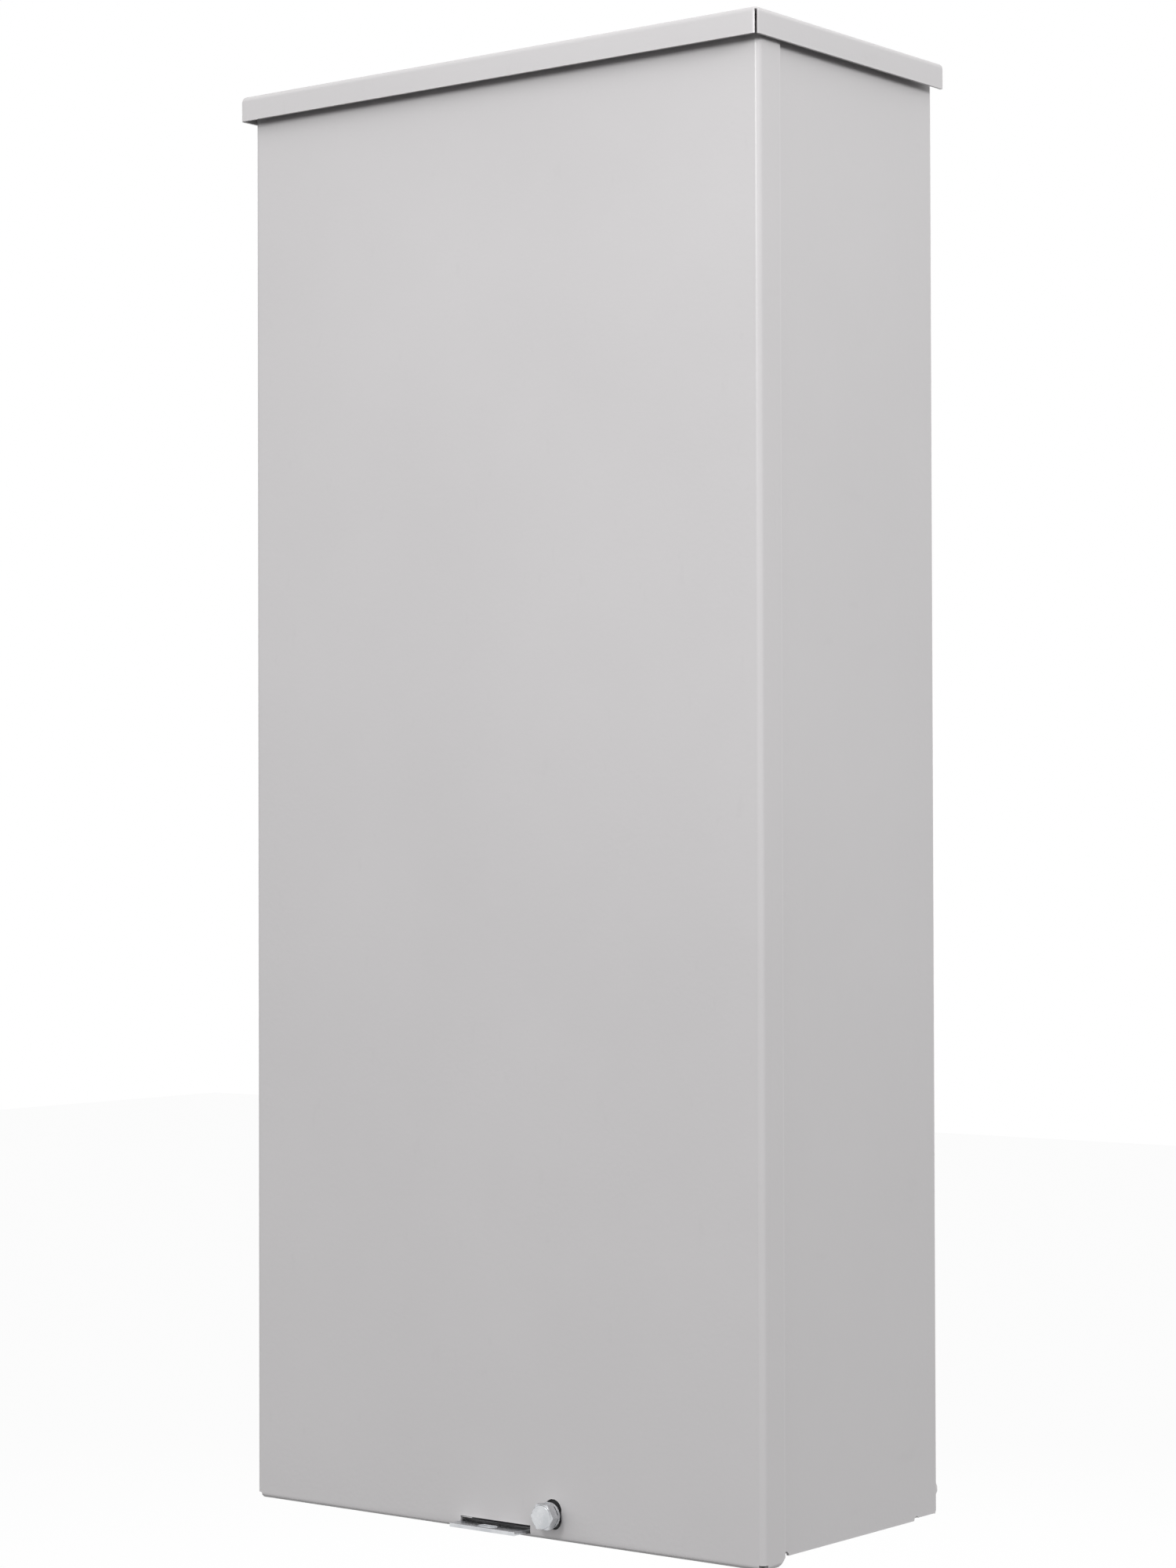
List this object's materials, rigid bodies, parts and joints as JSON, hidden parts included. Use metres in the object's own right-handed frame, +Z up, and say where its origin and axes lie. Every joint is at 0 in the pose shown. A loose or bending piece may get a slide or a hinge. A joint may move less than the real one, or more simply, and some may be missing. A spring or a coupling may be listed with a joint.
{
  "type": "automatic transfer switch",
  "caption": "Outdoor wall cabinet of a home standby generator's automatic transfer switch, with a tilting front cover, service breaker, double-throw switch and wiring terminals inside.",
  "frame": {"origin": "centre of the four wall fixing holes, on the wall's surface", "axes": "+X to the right seen from the front, +Y into the wall, +Z up"},
  "size_m": [0.344, 0.1776, 0.7643],
  "materials": {
    "light_grey_paint": "satin powder coat",
    "zinc_plate": "bright zinc plate",
    "galvanised_sheet": "galvanised",
    "copper": null,
    "aluminium": "as extruded",
    "black_moulding": "moulded",
    "brown_phenolic": "moulded phenolic",
    "white_plastic": "moulded",
    "clear_guard": "clear polycarbonate",
    "circuit_board": "solder mask",
    "relay_blue": "moulded",
    "red_grip": "dipped vinyl",
    "coil_tape": "varnished tape",
    "fuse_tube": "fibre tube with plated ends"
  },
  "bodies": {
    "cabinet": {"enclosure_wrap": "light_grey_paint", "enclosure_bottom": "light_grey_paint", "enclosure_top": "light_grey_paint", "rain_cap": "light_grey_paint", "dead_front": "light_grey_paint", "screw_nut": "zinc_plate", "hasp_tab": "zinc_plate", "panel_screw_1": "zinc_plate", "panel_screw_2": "zinc_plate", "panel_screw_3": "zinc_plate", "panel_screw_4": "zinc_plate", "dead_front_screw_1": "zinc_plate", "dead_front_screw_2": "zinc_plate", "dead_front_screw_3": "zinc_plate", "dead_front_screw_4": "zinc_plate", "mounting_panel": "galvanised_sheet", "utility_coil_frame": "galvanised_sheet", "standby_coil_frame": "galvanised_sheet", "utility_contact_left": "copper", "utility_contact_right": "copper", "standby_contact_left": "copper", "standby_contact_right": "copper", "load_terminal_left": "copper", "load_terminal_right": "copper", "line_lug_left": "aluminium", "line_lug_right": "aluminium", "load_lug_left": "aluminium", "load_lug_right": "aluminium", "standby_lug_left": "aluminium", "standby_lug_right": "aluminium", "neutral_bar": "aluminium", "ground_bar": "aluminium", "breaker_case": "black_moulding", "breaker_face": "black_moulding", "fuse_block": "black_moulding", "terminal_strip": "black_moulding", "control_harness": "black_moulding", "switch_base": "brown_phenolic", "neutral_insulator": "white_plastic", "board_tray": "white_plastic", "arc_guard": "clear_guard", "control_board": "circuit_board", "board_relay": "relay_blue", "utility_coil": "coil_tape", "standby_coil": "coil_tape", "fuse_1": "fuse_tube", "fuse_2": "fuse_tube", "fuse_3": "fuse_tube"},
    "cover": {"front_cover": "light_grey_paint", "screw_retainer": "black_moulding"},
    "washer": {"screw_washer": "zinc_plate"},
    "screw": {"cover_screw": "zinc_plate"},
    "toggle": {"breaker_handle": "white_plastic"},
    "mover": {"switch_shaft": "black_moulding", "contact_blade_left": "copper", "contact_blade_right": "copper", "drive_arm": "zinc_plate", "transfer_handle": "zinc_plate", "handle_grip": "red_grip"},
    "plunger": {"plunger_yoke": "zinc_plate"}
  },
  "joints": [
    {"name": "cover_tilt", "type": "hinge", "parent": "cabinet", "child": "cover", "pos_m": [0, -0.166, 0.4024], "axis": [-1, 0, 0], "range_deg": [0, 30]},
    {"name": "screw_slide", "type": "slide", "parent": "cover", "child": "washer", "axis": [0, -1, 0], "range_m": [0, 0.0095]},
    {"name": "screw_turn", "type": "hinge", "parent": "washer", "child": "screw", "pos_m": [0.037, -0.1675, -0.3429], "axis": [0, -1, 0], "range_deg": [0, 2423]},
    {"name": "breaker_toggle", "type": "hinge", "parent": "cabinet", "child": "toggle", "pos_m": [0, -0.0849, 0.2561], "axis": [1, 0, 0], "range_deg": [0, 50]},
    {"name": "transfer", "type": "hinge", "parent": "cabinet", "child": "mover", "pos_m": [0, -0.0518, 0.0286], "axis": [1, 0, 0], "range_deg": [0, 60]},
    {"name": "plunger_slide", "type": "slide", "parent": "cabinet", "child": "plunger", "axis": [0, 0, -1], "range_m": [0, 0.03]}
  ],
  "couplings": [
    {"joint": "screw_slide", "follows": "screw_turn", "m_per_rad": 0.00022457},
    {"joint": "plunger_slide", "follows": "transfer", "m_per_rad": 0.02864}
  ]
}
